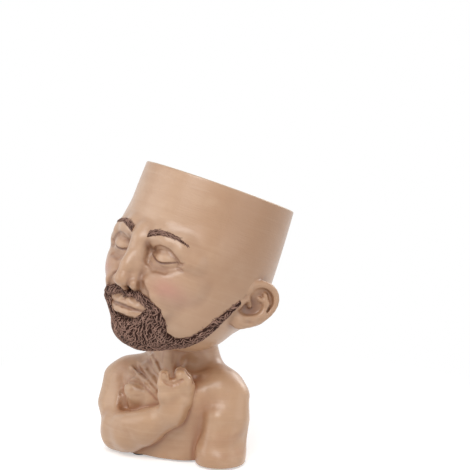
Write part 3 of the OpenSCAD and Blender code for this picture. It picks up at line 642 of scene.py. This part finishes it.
# ---------- paint ----------
def node(tree, kind, **values):
    n = tree.nodes.new(kind)
    for key, value in values.items():
        if key in n.inputs: n.inputs[key].default_value = value
        else: setattr(n, key, value)
    return n

def combined(tree, how, a, b):
    """Socket of two sockets, or a socket and a number, put together."""
    n = node(tree, "ShaderNodeMath", operation=how)
    tree.links.new(a, n.inputs[0])
    if isinstance(b, float): n.inputs[1].default_value = b
    else: tree.links.new(b, n.inputs[1])
    return n.outputs[0]

def mapped(tree, fac, *stops):
    """Socket of fac, mapped from the first two stops to the last two."""
    n = node(tree, "ShaderNodeMapRange")
    for key, v in zip(("From Min", "From Max", "To Min", "To Max"), stops): n.inputs[key].default_value = v
    tree.links.new(fac, n.inputs["Value"])
    return n.outputs["Result"]

def srgb(*rgb):
    return tuple(((c / 255 + 0.055) / 1.055) ** 2.4 if c > 10 else c / 255 / 12.92 for c in rgb) + (1.0,)

class Paint:
    """A node material, built up layer over layer."""
    def __init__(s, name, color, rough, coat=0.0):
        s.m = bpy.data.materials.new(name)
        s.m.use_nodes = True
        s.tree = s.m.node_tree
        s.b, s.link = s.tree.nodes["Principled BSDF"], s.tree.links.new
        s.color = node(s.tree, "ShaderNodeRGB").outputs[0]
        s.color.default_value = color
        for key, value in (("Roughness", rough), ("Coat Weight", coat), ("Coat Roughness", 0.25)):
            s.b.inputs[key].default_value = value
        s.where = node(s.tree, "ShaderNodeTexCoord").outputs["Object"]
        s.bump = None
    def turned(s, axes):
        """Object coordinates seen along the given axes (columns)."""
        out = node(s.tree, "ShaderNodeCombineXYZ")
        for i in range(3):
            dot = node(s.tree, "ShaderNodeVectorMath", operation="DOT_PRODUCT")
            s.link(s.where, dot.inputs[0])
            dot.inputs[1].default_value = tuple(axes[:, i])
            s.link(dot.outputs["Value"], out.inputs[i])
        return out.outputs[0]
    def attribute(s, name):
        return node(s.tree, "ShaderNodeAttribute", attribute_name=name).outputs["Fac"]
    def noise(s, scale, detail, stretch=None, distort=0.0, where=None):
        p = where or s.where
        if stretch:
            mapping = node(s.tree, "ShaderNodeMapping", Scale=stretch)
            s.link(p, mapping.inputs["Vector"])
            p = mapping.outputs["Vector"]
        n = node(s.tree, "ShaderNodeTexNoise", Scale=scale, Detail=detail, Distortion=distort)
        s.link(p, n.inputs["Vector"])
        return n.outputs["Fac"]
    def patches(s, stops, *noise):
        return mapped(s.tree, s.noise(*noise), *stops)
    def over(s, fac, *rgb):
        n = node(s.tree, "ShaderNodeMix", data_type="RGBA")
        for socket, i in ((fac, 0), (s.color, 6)): s.link(socket, n.inputs[i])
        n.inputs[7].default_value = srgb(*rgb)
        s.color = n.outputs[2]
    def broken(s, name, *patches):
        """An attribute, weakened in patches."""
        return combined(s.tree, "MULTIPLY", s.attribute(name), s.patches(*patches))
    def rough(s, lo, hi, *noise):
        s.link(s.patches((0, 1, lo, hi), *noise), s.b.inputs["Roughness"])
    def relief(s, distance, *noise):
        n = node(s.tree, "ShaderNodeBump", Distance=distance)
        s.link(s.noise(*noise), n.inputs["Height"])
        if s.bump is not None: s.link(s.bump, n.inputs["Normal"])
        s.bump = n.outputs["Normal"]
    def done(s):
        s.link(s.color, s.b.inputs["Base Color"])
        s.link(s.bump, s.b.inputs["Normal"])
        return s.m

def skin_paint(name, body, wash_and_shade, streak_axes):
    """Hand-painted resin skin: mottled tan, brown paint washed into the creases with painted shade there,
    painted shade on the head's sides and in the ears' bowls, blush, satin clear coat.
    """
    p = Paint(name, srgb(*body), 0.42, 0.5)
    along = p.turned(streak_axes)
    p.over(p.patches((0.42, 0.62, 0.0, 0.6), 11.0, 3), 180, 138, 105)
    p.over(p.patches((0.50, 0.72, 0.0, 0.45), 38.0, 5), 208, 174, 145)
    p.over(p.patches((0.48, 0.70, 0.0, 0.20), 30.0, 6, (0.35, 0.35, 5.0), 0.4, along), 172, 128, 96)
    p.over(p.patches((0.55, 0.75, 0.0, 0.22), 48.0, 5, (0.25, 0.25, 4.0), 0.3, along), 212, 182, 156)
    # brown wash with painted shade, in the creases and along the folds
    p.over(p.broken("wash_and_shade", (0.3, 0.7, 0.7, 1.0), 60.0, 4), *wash_and_shade)
    p.over(p.broken("shade", (0.3, 0.7, 0.6, 1.0), 9.0, 3), 168, 126, 92)
    # the first of these layers is painted shade in the ears' bowls
    for layer, rgb in (("hollow", (118, 76, 52)), ("blush", (200, 134, 122)), ("line", (100, 60, 40)),
                       ("edge", (208, 182, 156)), ("inside", (142, 108, 84))): p.over(p.attribute(layer), *rgb)
    p.rough(0.36, 0.52, 40.0, 4)
    p.relief(0.00012, 420.0, 3)
    p.relief(0.00022, 160.0, 3, (0.3, 0.3, 3.0), 0.6, along)
    return p.done()

# the last colour of each skin is that of its brown wash with painted shade
skin_head = skin_paint("skin_head", (193, 156, 126), (130, 86, 60), R)
skin_bust = skin_paint("skin_bust", (193, 154, 120), (152, 96, 60), np.eye(3))

def hair_paint(name):
    """Dark brown hair, dry-brushed so that the top of every lock is pale, a pale top that also stands as a
    painted highlight.
    """
    p = Paint(name, srgb(48, 25, 17), 0.6)
    p.b.inputs["Specular IOR Level"].default_value = 0.15
    p.over(p.attribute("rim"), 132, 94, 70)
    p.over(p.attribute("tone"), 92, 58, 46)
    # pale dry-brushed top of each lock, also a painted highlight
    p.over(p.broken("crest", (0.3, 0.6, 0.65, 1.0), 150.0, 3), 196, 158, 141)
    p.relief(0.00008, 900.0, 2)
    return p.done()

hair = hair_paint("hair_paint")

# ---------- the castings ----------
ON_FORM, ON_LIP = 0.35 * STEP, 0.03  # a spot this near the form is laid on it, unless it lies this far inside it

def surface(g, of, has_lips=False):
    """Mesh of a field, its seams laid on the form of; a piece's lips stay sunk."""
    V, Q = one_part(*nets(g))
    near = np.abs(of.sample(V)) < ON_FORM
    if has_lips: near &= g.sample(V) - of.sample(V) < ON_LIP
    V[near] = of.onto(V[near], 1)
    return V, Q

def piece(name, V, Q, paint, normals=None):
    me = bpy.data.meshes.new(name)
    me.vertices.add(len(V))
    me.vertices.foreach_set("co", ((V - SHIFT) / 1000).astype(F).ravel())
    me.loops.add(Q.size)
    me.loops.foreach_set("vertex_index", Q.astype(np.int32).ravel())
    me.polygons.add(len(Q))
    me.polygons.foreach_set("loop_start", np.arange(0, Q.size, 4, dtype=np.int32))
    me.update(calc_edges=True)
    me.polygons.foreach_set("use_smooth", np.ones(len(Q), bool))
    if normals is not None: me.normals_split_custom_set_from_vertices(normals)
    me.materials.append(paint)
    o = bpy.data.objects.new(name, me)
    bpy.context.scene.collection.objects.link(o)
    return o

def value(o, name, v):
    o.data.attributes.new(name, "FLOAT", "POINT").data.foreach_set("value", np.asarray(v, F))

def depth_of(V, N):
    """How deep a spot lies in a fold: 0 open, 1 deep."""
    w = 0
    for h, k in ((1.6, 0.8), (4.0, 0.75), (9.0, 0.35)):
        w = w + k * np.clip(1 - whole.sample(V + N * h) / h, 0, 1)
    return np.clip(w, 0, 1.2)

HEAD_FROM = 118  # height from which a spot is painted as the head
bare_head = like(head_at, bare)

def skin_values(o, V, N):
    """Where each layer of the skin's paint lies."""
    L, up, on_head = to_head(V), N @ R[:, 2], V[:, 2] > HEAD_FROM
    x, z, front = np.abs(L[:, 0]), L[:, 2], L[:, 1] < 0
    w = depth_of(V, N)
    inside = (on_head & (np.hypot(L[:, 0] / 70, (L[:, 1] - 2) / 79) < 1) & (up > -0.2) & (z > -54)
              & (bare_head.sample(V) < -3))
    # brown wash with painted shade: darkest where a spot lies deep in a fold or crease, where shade falls, and
    # along the listed folds
    on_bust = np.clip(np.maximum(w * 1.15 - 0.12, folds(V)), 0, 0.85)
    value(o, "wash_and_shade", np.where(on_head, np.clip(w * 1.1 - 0.12, 0, 0.8), on_bust) * ~inside)
    value(o, "blush", 0.5 * np.exp(-(((x - 43) / 12) ** 2 + ((z + 26) / 9.5) ** 2)) * front * on_head)
    turn = np.abs(angles(L)[0])
    value(o, "shade", 0.85 * ramp(turn, 30, 70) * (0.6 + 0.4 * ramp(z, -30, 50)) * on_head * ~inside)
    # painted shade in the ears' bowls, deep in them and facing inward
    hollow = np.zeros(len(V))
    for s in (-1, 1):
        E = (L * (s, 1, 1) - EAR_ROOT) @ EAR_AXES
        oval = np.hypot((E[:, 0] / EAR_W - 0.42) / 0.36, E[:, 2] / EAR_H / 0.36)
        facing = N @ R @ (EAR_AXES[:, 1] * (s, 1, 1)) < 0.35
        deep = ramp(3.2 + E[:, 1], 0, 4.5) * (E[:, 1] < 12)
        hollow = np.maximum(hollow, (1 - ramp(oval, 0.7, 1.05)) * deep * facing)
    value(o, "hollow", 0.85 * hollow * on_head)
    eye = np.exp(-((z - lash(np.clip((x - LASH_X) / LASH_W, 0, 1)) + 0.2) / 0.7) ** 2)
    eye *= (x > EX - 15) * (x < EX + 16)
    mouth = np.exp(-((z + 54.8 - 0.02 * x) / 0.9) ** 2) * (x < 27)
    value(o, "line", np.clip(0.9 * eye + 0.5 * mouth, 0, 0.9) * (L[:, 1] < -30) * on_head)
    value(o, "edge", 0.75 * np.exp(-((z - RIM) / 1.3) ** 2) * (up > 0.3) * on_head)
    value(o, "inside", 0.9 * inside)

for name, cad, at, d, paint in (
        ("bust", "bust_shell", whole_at, bust_d, skin_bust),
        ("head", "head_bowl", head_at, head_d, skin_head),
        ("forearm", "right_forearm", arm_at, np.maximum(solid[arm_at], arm_side), skin_bust),
        *(("ear_" + side, side + "_ear", at, np.maximum(solid[at], edge), skin_head)
          for side, (at, edge) in ears.items())):
    V, Q = surface(like(at, d), whole, has_lips=name in ("bust", "head"))
    N = whole.grad(V)  # the normals of the whole form, so that seams don't show
    o = piece(name, V, Q, paint, N)
    skin_values(o, V, N)
    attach(o, "vase")
    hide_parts(cad)

# ---------- hair: a raised ground and thousands of locks ----------
# Edges of the patches: [turn, lower and upper drop below the eye line], in degrees
BEARD_EDGE = np.array([
    [0, 70, 43], [7, 70, 42.4], [12, 70, 40.6], [16, 70, 37.6], [19, 70, 34.4], [22, 70, 31], [26, 70, 29.6],
    [31, 70, 31.5], [36, 70, 40], [40, 70, 48], [50, 68, 51], [62, 61, 45], [73, 47, 31], [81, 33, 20],
    [89, 16, 9.5], [91, 12, 12]], float)
MOUSTACHE_EDGE = np.array([
    [0, 30.4, 25.8], [4, 30.4, 24.8], [10, 31.2, 24.6], [17, 33.2, 25.8], [24, 36, 27.6], [31, 38, 31]], float)
MM_PER_DEGREE = {"beard": 1.45, "moustache": 1.5}
# Height of the ground, and over how much depth in from the edge it rises, in mm
LIFT = {"beard": (2.4, 5.0), "moustache": (2.0, 3.4), "eyebrow_left": (0.9, 2.2), "eyebrow_right": (0.9, 2.2)}
UNDER = 0.9  # how far the ground reaches under the skin
LEAST_DEPTH = 0.2  # in from the edge, of a lock's root

def patch_depth(L, kind):
    """Depth inside a hair patch, about in mm."""
    if kind in MM_PER_DEGREE:
        E = BEARD_EDGE if kind == "beard" else MOUSTACHE_EDGE
        turn, drop = angles(L)
        a = np.abs(turn)
        lo, hi = np.interp(a, E[:, 0], E[:, 1]), np.interp(a, E[:, 0], E[:, 2])
        return np.minimum(np.minimum(lo - drop, drop - hi), E[-1, 0] - a) * MM_PER_DEGREE[kind]
    # an eyebrow: an arch that thins towards its outer end
    x = np.abs(L[:, 0])
    t = (x - 11) / 38.0
    middle = 18.5 + 6.8 * np.sin(np.clip(t, 0, 1) ** 0.9 * 2.5) - 2.0 * t
    half = 3.7 * (1 - 0.72 * np.clip(t, 0, 1) ** 1.3)
    d = np.where(L[:, 1] < 0, np.minimum(half - np.abs(L[:, 2] - middle), np.minimum(x - 10, 50 - x)), -9)
    return np.where(L[:, 0] * (1 if kind == "eyebrow_left" else -1) > 0, d, -9)

def ground(kind, lo, hi):
    """Field of a hair patch's raised ground, from a little under the skin, and of the locks' bed."""
    g, at = aligned(lo, hi)
    skin = head.d[in_head(at)]
    near = np.abs(skin) < 7
    b = patch_depth(to_head(np.stack([np.broadcast_to(c, near.shape)[near] for c in np.ix_(*g.ax)], 1)), kind)
    high, over = LIFT[kind]
    s, rise = skin[near], high * ramp(b, -0.2, over)
    g.d[:] = 9
    g.d[near] = np.maximum(np.maximum(s - rise, -(s + UNDER)), -b)
    bed = skin.copy()
    bed[near] = s - 0.9 * high * ramp(b, -0.2, over)
    return g, like(at, bed)

def spread(P, gap):
    """The points of P, taken in order, that keep the gap from those taken before."""
    kept, cells = [], {}
    near = [(a, b, c) for a in (-1, 0, 1) for b in (-1, 0, 1) for c in (-1, 0, 1)]
    for i, p in enumerate(P / gap):
        x, y, z = (int(v) for v in np.floor(p))
        if all(((p - q) ** 2).sum() >= 1 for a, b, c in near for q in cells.get((x + a, y + b, z + c), ())):
            cells.setdefault((x, y, z), []).append(p)
            kept.append(i)
    return kept

ALONG, ROUND = 7, 6  # steps along a lock, and points round it
TRIES = {"beard": 50000, "moustache": 9000, "eyebrow_left": 9000, "eyebrow_right": 9000}
RAY = (118, 48, 100)  # of each try, through the skin towards the head's middle: its ends and its spots

def locks(kind, gap, reach, size, flow, seed, top, curl):
    """Curved tapered locks that lie on the ground: points, faces, crest and tone."""
    rng = np.random.default_rng(seed)
    n = TRIES[kind]
    a, b = (np.radians(rng.uniform(*span, n)) for span in reach)
    D = np.stack([np.sin(a) * np.cos(b), -np.cos(a) * np.cos(b), -np.sin(b)], 1)
    r = np.linspace(*RAY)
    s = top.sample((D[:, None, :] * r[None, :, None]).reshape(-1, 3) @ R.T + O).reshape(n, -1)
    hit = np.argmax(s < 0, axis=1)
    roots = D * r[hit][:, None]
    depth = patch_depth(roots, kind)
    ok = (hit > 0) & (depth > LEAST_DEPTH) & (rng.uniform(0, 1, n) < np.cos(b) * (r[hit] / 95.0) ** 2)
    roots, depth = roots[ok], depth[ok]
    kept = spread(roots, gap)
    roots, depth = roots[kept], depth[kept]
    m = len(roots)
    length, width = (rng.uniform(*span, m) for span in size)
    width *= np.clip(0.55 + depth / 6, 0.55, 1)
    length *= np.clip(0.42 + depth / 7, 0.42, 1)
    x, z = roots[:, 0], roots[:, 2]
    twist = rng.normal(0, 0.22 * curl, m) + 0.45 * curl * np.sin(x * 0.31 + 2 * np.sin(z * 0.24 + x * 0.07))
    bend, wave = rng.normal(0, 0.10 * curl, m), rng.uniform(0, 6.28, m)
    def level(T, N): return unit(T - N * (T * N).sum(1, keepdims=True))
    def turned_by(T, N, a): return T * np.cos(a)[:, None] + np.cross(N, T) * np.sin(a)[:, None]
    P = top.onto(roots @ R.T + O, 2)
    N = top.grad(P)
    T = turned_by(level(flow(roots) @ R.T, N), N, twist)
    rings, ups = [], []
    for i in range(ALONG + 1):
        u = i / ALONG
        N = top.grad(P)
        T = level(T, N)
        across = np.cross(N, T)
        rad = width / 2 * (np.sin(np.pi * min(1, 0.12 + 0.82 * u)) ** 0.55)
        lift = 0.05 + 0.45 * u * (1 - u)
        for k in range(ROUND):
            c, s = math.cos(math.pi * (k / 3 + 1 / 6)), math.sin(math.pi * (k / 3 + 1 / 6))
            rings.append(P + N * (lift + rad * s)[:, None] + across * (rad * c)[:, None])
            ups.append(np.full(m, s))
        P = P + T * (length / ALONG)[:, None]
        P = P - top.grad(P) * np.clip(top.sample(P), -1, 1)[:, None]
        T = turned_by(T, N, bend + 0.34 * curl * np.sin(wave + 6.6 * u))
    V = np.stack(rings, 1)  # lock, ring point, xyz
    per = V.shape[1]
    q = [(i * ROUND + k, i * ROUND + (k + 1) % ROUND, (i + 1) * ROUND + (k + 1) % ROUND, (i + 1) * ROUND + k)
         for i in range(ALONG) for k in range(ROUND)]
    e = ALONG * ROUND
    q += [(3, 2, 1, 0), (5, 4, 3, 0), (e, e + 1, e + 2, e + 3), (e, e + 3, e + 4, e + 5)]
    Q = (np.array(q)[None] + per * np.arange(m)[:, None, None]).reshape(-1, 4)
    crest = np.stack(ups, 1) * 0.5 + 0.5
    tone = np.repeat(rng.uniform(0, 1, m)[:, None], per, 1)
    return V.reshape(-1, 3), Q, crest.ravel(), tone.ravel()

def beard_flow(L):
    """Down the cheeks and over the chin, forward along the jaw."""
    side, x, one = np.clip((np.abs(angles(L)[0]) - 40) / 30, 0, 1)[:, None], L[:, 0], np.ones(len(L))
    down = np.stack([-0.25 * np.sign(x) * np.clip(np.abs(x) / 30, 0, 1), 0.15 * one, -one], 1)
    along = np.stack([-0.35 * np.sign(x), -0.75 * one, -0.75 * one], 1)
    return unit(down * (1 - side) + along * side)

def moustache_flow(L):
    s, out = np.sign(L[:, 0]), np.clip(np.abs(L[:, 0]) / 26, 0, 1)
    return unit(np.stack([s * (0.55 + 0.5 * out), 0.2 + 0 * s, -0.75 - 0.25 * out], 1))

def brow_flow(L):
    s, out = np.sign(L[:, 0]), np.clip((np.abs(L[:, 0]) - 11) / 36, 0, 1)
    return unit(np.stack([s * (0.7 + 0.3 * out), 0.3 * out, 0.75 - 1.35 * out], 1))

def hair_piece(kind, cad, lo, hi, gap, reach, size, flow, seed, curl=1.0):
    g, top = ground(kind, lo, hi)
    V, Q = surface(g, g)
    LV, LQ, crest, tone = locks(kind, gap * (1), reach, size, flow, seed, top, curl)
    def on_locks(v): return np.concatenate([np.zeros(len(V)), v])
    h = piece(kind + "_hair", np.concatenate([V, LV]), np.concatenate([Q, LQ + len(V)]), hair)
    # crest: the pale dry-brushed top of each lock, also a painted highlight
    value(h, "crest", on_locks(np.clip((crest - 0.55) / 0.45, 0, 1) ** 1.5 * (0.5 + 0.5 * tone)))
    value(h, "tone", on_locks(np.clip(crest * 1.6 - 0.4, 0, 1) * (0.3 + 0.7 * tone)))
    value(h, "rim", np.append(np.clip(1.3 - patch_depth(to_head(V), kind) / 0.8, 0, 1), np.zeros(len(LV))))
    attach(h, "vase")
    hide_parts(cad)

hair_piece("beard", "beard", (-70, -98, 108), (100, 60, 192), 1.95, ((-92, 92), (6, 74)),
           ((4.5, 7.5), (1.0, 1.5)), beard_flow, 11)
hair_piece("moustache", "moustache", (-50, -102, 152), (50, -40, 192), 1.55, ((-32, 32), (23, 39)),
           ((4.0, 6.5), (0.9, 1.3)), moustache_flow, 12, 0.7)
for side, lo, hi, turns, seed in (("left", (0, -102, 205), (76, -20, 250), (6, 45), 13),
                                  ("right", (-60, -102, 205), (20, 0, 262), (-45, -6), 14)):
    hair_piece("eyebrow_" + side, side + "_eyebrow", lo, hi, 1.2, (turns, (-24, -5)),
               ((4.5, 7.0), (0.8, 1.2)), brow_flow, seed, 0.4)

# ---------- drain, plate and pads: the CAD's own shapes in their materials ----------
for cad, name, color, speck, rough, grain, depth in (
        ("drain_tube", "tube_plastic", (142, 144, 146), (126, 129, 132), 0.42, 700.0, 0.00012),
        ("drain_plug", "plug_rubber", (38, 38, 40), (52, 51, 51), 0.62, 500.0, 0.0002),
        ("base_plate", "plate_plastic", (120, 122, 124), (106, 108, 111), 0.5, 380.0, 0.0003),
        ("foot_pads", "pad_rubber", (34, 34, 35), (48, 47, 47), 0.75, 450.0, 0.0003)):
    p = Paint(name, srgb(*color), rough)
    p.over(p.patches((0.4, 0.7, 0.0, 0.5), 30.0, 4), *speck)
    p.rough(rough - 0.08, rough + 0.1, 60.0, 4)
    p.relief(depth, grain, 3)
    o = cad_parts[cad]
    o.data.materials.clear()
    o.data.materials.append(p.done())

# ---------- camera and light ----------
scene = bpy.context.scene
scene.view_settings.view_transform = "Standard"
AZIMUTH, PITCH, DISTANCE, WIDTH = math.radians(28), math.radians(11), 2.0, 0.470  # the view is WIDTH wide
right = Vector((math.cos(AZIMUTH), math.sin(AZIMUTH), 0))
toward = Vector((math.sin(AZIMUTH), -math.cos(AZIMUTH), 0))
up = Vector((0, 0, 1))
target = right * 0.060 + up * 0.224 - Vector(SHIFT) / 1000
back = toward * math.cos(PITCH) + up * math.sin(PITCH)

def placed(name, data, place, aim):
    """An object at place that looks at aim."""
    o = bpy.data.objects.new(name, data)
    o.location, o.rotation_mode = place, "QUATERNION"
    o.rotation_quaternion = (aim - place).to_track_quat("-Z", "Y")
    scene.collection.objects.link(o)
    return o

camera = placed("camera", bpy.data.cameras.new("camera"), target + back * DISTANCE, target)
camera.data.sensor_width = 36.0
camera.data.lens = camera.data.sensor_width * DISTANCE / WIDTH
scene.camera = camera

middle = Vector((0, 0, 0.16))
for name, t, r, u, size, energy in (("key", 1.0, -0.25, 1.1, 0.8, 10.5), ("fill", 0.7, 1.2, 0.3, 1.0, 3.2),
                                    ("side", 0.2, -1.3, 0.4, 0.9, 4.0), ("back", -0.9, 1.0, 0.7, 0.7, 7.0)):
    data = bpy.data.lights.new(name, "AREA")
    data.size, data.energy = size, energy
    placed(name, data, middle + toward * t + right * r + up * u, middle)

def seen(tree):
    """Socket that is 1 for camera, glossy and transmission rays."""
    path = node(tree, "ShaderNodeLightPath").outputs
    both = combined(tree, "MAXIMUM", path["Is Camera Ray"], path["Is Glossy Ray"])
    return combined(tree, "MAXIMUM", both, path["Is Transmission Ray"])

def mixed(tree, fac, a, b, out):
    """Two shaders mixed, as what the tree gives."""
    n = node(tree, "ShaderNodeMixShader")
    for socket, to in zip((fac, a.outputs[0], b.outputs[0]), n.inputs): tree.links.new(socket, to)
    tree.links.new(n.outputs[0], tree.nodes[out].inputs["Surface"])

WHITE = (1.0, 1.0, 1.0, 1.0)
WORLD_LIGHT = 0.40
world = bpy.data.worlds.new("world")
scene.world = world
world.use_nodes = True
tree = world.node_tree
light = tree.nodes["Background"]
light.inputs["Color"].default_value, light.inputs["Strength"].default_value = WHITE, WORLD_LIGHT
mixed(tree, seen(tree), light, node(tree, "ShaderNodeBackground", Color=WHITE, Strength=1.0), "World Output")

# ---------- floor: white where it is seen, with the object's shadow near it ----------
FLOOR, FLOOR_GLOW, FADE_FROM, FADE_TO = 4, 0.45, 0.16, 0.42  # half size in m, and where the shadow fades out
me = bpy.data.meshes.new("floor")
me.from_pydata([(x, y, 0) for x, y in ((-FLOOR, -FLOOR), (FLOOR, -FLOOR), (FLOOR, FLOOR), (-FLOOR, FLOOR))],
               [], [(0, 1, 2, 3)])
floor = bpy.data.objects.new("floor", me)
scene.collection.objects.link(floor)
material = bpy.data.materials.new("floor_white")
material.use_nodes = True
tree = material.node_tree
shaded = tree.nodes["Principled BSDF"]
for key, v in (("Base Color", (0.86, 0.86, 0.86, 1.0)), ("Roughness", 0.9), ("Specular IOR Level", 0.1),
               ("Emission Color", WHITE)): shaded.inputs[key].default_value = v
is_seen = seen(tree)
tree.links.new(combined(tree, "MULTIPLY", is_seen, FLOOR_GLOW), shaded.inputs["Emission Strength"])
far = node(tree, "ShaderNodeVectorMath", operation="LENGTH")
tree.links.new(node(tree, "ShaderNodeTexCoord").outputs["Object"], far.inputs[0])
fade = mapped(tree, far.outputs["Value"], FADE_FROM, FADE_TO, 0.0, 1.0)
mixed(tree, combined(tree, "MULTIPLY", fade, is_seen), shaded, node(tree, "ShaderNodeEmission", Strength=1.0),
      "Material Output")
me.materials.append(material)
